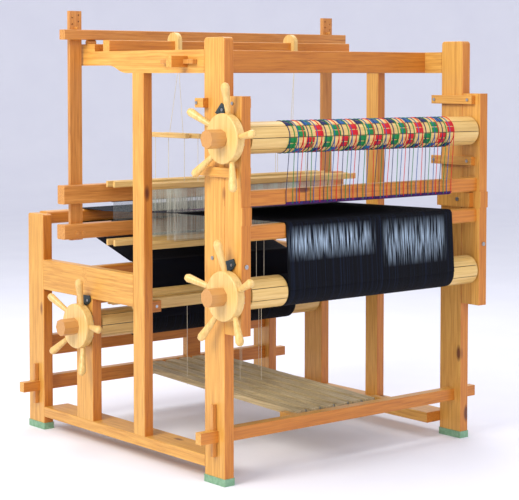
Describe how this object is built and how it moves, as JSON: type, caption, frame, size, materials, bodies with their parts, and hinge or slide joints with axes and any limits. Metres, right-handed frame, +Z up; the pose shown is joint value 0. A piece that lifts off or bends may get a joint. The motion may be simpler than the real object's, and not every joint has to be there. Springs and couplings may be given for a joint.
{
  "type": "floor loom",
  "caption": "Free-standing wooden floor loom with upper and lower warp beams, cloth beam, hanging beater, shafts on heddle horses, and treadles.",
  "frame": {"origin": "on the floor, under the middle of the loom's overall box", "axes": "+Z up; the weaver sits at -Y and the warp beams are at +Y; +X is the weaver's right when facing the loom, the side with the hand wheels"},
  "size_m": [1.474, 1.5602, 1.716],
  "materials": {
    "pine": "clear satin lacquer",
    "birch": "turned and oiled",
    "slats": "planed and oiled",
    "beater_pine": "clear satin lacquer",
    "treadle_wood": "planed",
    "light_wood": "planed and oiled",
    "foot_caps": "moulded",
    "steel": "zinc plated",
    "dark_steel": "dark enamel",
    "reed_steel": "flat wire",
    "dark_yarn": "spun yarn",
    "coloured_yarn": "spun yarn",
    "cloth": "woven"
  },
  "bodies": {
    "frame": {"back_beam": "pine", "back_bottom_beam": "pine", "back_posts": "pine", "back_top_beam": "pine", "beater_rests": "pine", "bottom_rails": "pine", "breast_beam": "pine", "clamp_boards": "pine", "cloth_beam_posts": "pine", "feet": "foot_caps", "frame_bolts": "steel", "front_lower_rail": "pine", "front_posts": "pine", "front_upper_rail": "pine", "ground_warp": "dark_yarn", "guide_beam": "pine", "harness_beam": "pine", "harness_hooks": "light_wood", "knee_beam": "pine", "middle_posts": "pine", "pile_warp": "coloured_yarn", "pivot_blocks": "pine", "side_rails": "pine", "tenon_wedges": "pine", "top_rails": "pine", "warp_brackets": "pine", "woven_cloth": "cloth"},
    "beater": {"beater_swords": "beater_pine", "beater_top_beam": "beater_pine", "reed_cap": "beater_pine", "sley": "beater_pine", "reed": "reed_steel"},
    "upper_roller": {"upper_warp_beam": "slats", "upper_warp_wheel": "birch", "upper_warp_ratchet": "steel"},
    "lower_roller": {"lower_warp_beam": "slats", "lower_warp_wheel": "birch", "lower_warp_ratchet": "steel"},
    "cloth_roller": {"cloth_beam": "slats", "cloth_wheel": "birch", "cloth_ratchet": "steel"},
    "upper_pawl": {"upper_pawl": "dark_steel"},
    "lower_pawl": {"lower_pawl": "dark_steel"},
    "cloth_pawl": {"cloth_pawl": "dark_steel"},
    "horses_a": {"heddle_horses_a": "light_wood"},
    "horses_b": {"heddle_horses_b": "light_wood"},
    "shaft_1": {"shaft_1": "light_wood"},
    "lam_1": {"lam_1": "light_wood"},
    "shaft_2": {"shaft_2": "light_wood"},
    "lam_2": {"lam_2": "light_wood"},
    "shaft_3": {"shaft_3": "light_wood"},
    "lam_3": {"lam_3": "light_wood"},
    "shaft_4": {"shaft_4": "light_wood"},
    "lam_4": {"lam_4": "light_wood"},
    "treadle_1": {"treadle_1": "treadle_wood"},
    "treadle_2": {"treadle_2": "treadle_wood"},
    "treadle_3": {"treadle_3": "treadle_wood"},
    "treadle_4": {"treadle_4": "treadle_wood"},
    "treadle_5": {"treadle_5": "treadle_wood"},
    "treadle_6": {"treadle_6": "treadle_wood"}
  },
  "joints": [
    {"name": "beater_swing", "type": "hinge", "parent": "frame", "child": "beater", "pos_m": [0, -0.333, 1.592], "axis": [1, 0, 0], "range_deg": [-12, 0]},
    {"name": "upper_roller_turn", "type": "hinge", "parent": "frame", "child": "upper_roller", "pos_m": [0, 0.582, 1.244], "axis": [1, 0, 0], "continuous": true},
    {"name": "lower_roller_turn", "type": "hinge", "parent": "frame", "child": "lower_roller", "pos_m": [0, 0.582, 0.691], "axis": [1, 0, 0], "continuous": true},
    {"name": "cloth_roller_turn", "type": "hinge", "parent": "frame", "child": "cloth_roller", "pos_m": [0, -0.36, 0.472], "axis": [1, 0, 0], "continuous": true},
    {"name": "upper_pawl_lift", "type": "hinge", "parent": "frame", "child": "upper_pawl", "pos_m": [0.6315, 0.538, 1.344], "axis": [1, 0, 0], "range_deg": [-25, 0]},
    {"name": "lower_pawl_lift", "type": "hinge", "parent": "frame", "child": "lower_pawl", "pos_m": [0.6315, 0.592, 0.79979], "axis": [1, 0, 0], "range_deg": [-25, 0]},
    {"name": "cloth_pawl_lift", "type": "hinge", "parent": "frame", "child": "cloth_pawl", "pos_m": [0.6315, -0.32398, 0.57514], "axis": [1, 0, 0], "range_deg": [-25, 0]},
    {"name": "horses_a_rock", "type": "hinge", "parent": "frame", "child": "horses_a", "pos_m": [0, -0.202, 1.225], "axis": [1, 0, 0], "range_deg": [-20, 20]},
    {"name": "horses_b_rock", "type": "hinge", "parent": "frame", "child": "horses_b", "pos_m": [0, -0.153, 1.225], "axis": [1, 0, 0], "range_deg": [-20, 20]},
    {"name": "shaft_1_lift", "type": "slide", "parent": "frame", "child": "shaft_1", "axis": [0, 0, 1], "range_m": [-0.035, 0.035]},
    {"name": "lam_1_tilt", "type": "hinge", "parent": "frame", "child": "lam_1", "pos_m": [0.545, -0.272, 0.582], "axis": [0, 1, 0], "range_deg": [-3.7, 3.7]},
    {"name": "shaft_2_lift", "type": "slide", "parent": "frame", "child": "shaft_2", "axis": [0, 0, 1], "range_m": [-0.035, 0.035]},
    {"name": "lam_2_tilt", "type": "hinge", "parent": "frame", "child": "lam_2", "pos_m": [0.545, -0.246, 0.582], "axis": [0, 1, 0], "range_deg": [-3.7, 3.7]},
    {"name": "shaft_3_lift", "type": "slide", "parent": "frame", "child": "shaft_3", "axis": [0, 0, 1], "range_m": [-0.035, 0.035]},
    {"name": "lam_3_tilt", "type": "hinge", "parent": "frame", "child": "lam_3", "pos_m": [0.545, -0.104, 0.582], "axis": [0, 1, 0], "range_deg": [-3.7, 3.7]},
    {"name": "shaft_4_lift", "type": "slide", "parent": "frame", "child": "shaft_4", "axis": [0, 0, 1], "range_m": [-0.035, 0.035]},
    {"name": "lam_4_tilt", "type": "hinge", "parent": "frame", "child": "lam_4", "pos_m": [0.545, -0.055, 0.582], "axis": [0, 1, 0], "range_deg": [-3.7, 3.7]},
    {"name": "treadle_1_press", "type": "hinge", "parent": "frame", "child": "treadle_1", "pos_m": [0.18, 0.417, 0.189], "axis": [1, 0, 0], "range_deg": [0, 7]},
    {"name": "treadle_2_press", "type": "hinge", "parent": "frame", "child": "treadle_2", "pos_m": [0.108, 0.417, 0.189], "axis": [1, 0, 0], "range_deg": [0, 7]},
    {"name": "treadle_3_press", "type": "hinge", "parent": "frame", "child": "treadle_3", "pos_m": [0.036, 0.417, 0.189], "axis": [1, 0, 0], "range_deg": [0, 7]},
    {"name": "treadle_4_press", "type": "hinge", "parent": "frame", "child": "treadle_4", "pos_m": [-0.036, 0.417, 0.189], "axis": [1, 0, 0], "range_deg": [0, 7]},
    {"name": "treadle_5_press", "type": "hinge", "parent": "frame", "child": "treadle_5", "pos_m": [-0.108, 0.417, 0.189], "axis": [1, 0, 0], "range_deg": [0, 7]},
    {"name": "treadle_6_press", "type": "hinge", "parent": "frame", "child": "treadle_6", "pos_m": [-0.18, 0.417, 0.189], "axis": [1, 0, 0], "range_deg": [0, 7]}
  ],
  "couplings": [
    {"joint": "shaft_1_lift", "follows": "horses_a_rock", "m_per_rad": -0.098},
    {"joint": "lam_1_tilt", "follows": "horses_a_rock", "ratio": -0.17982},
    {"joint": "shaft_2_lift", "follows": "horses_b_rock", "m_per_rad": -0.098},
    {"joint": "lam_2_tilt", "follows": "horses_b_rock", "ratio": -0.17982},
    {"joint": "shaft_3_lift", "follows": "horses_a_rock", "m_per_rad": 0.098},
    {"joint": "lam_3_tilt", "follows": "horses_a_rock", "ratio": 0.17982},
    {"joint": "shaft_4_lift", "follows": "horses_b_rock", "m_per_rad": 0.098},
    {"joint": "lam_4_tilt", "follows": "horses_b_rock", "ratio": 0.17982}
  ]
}
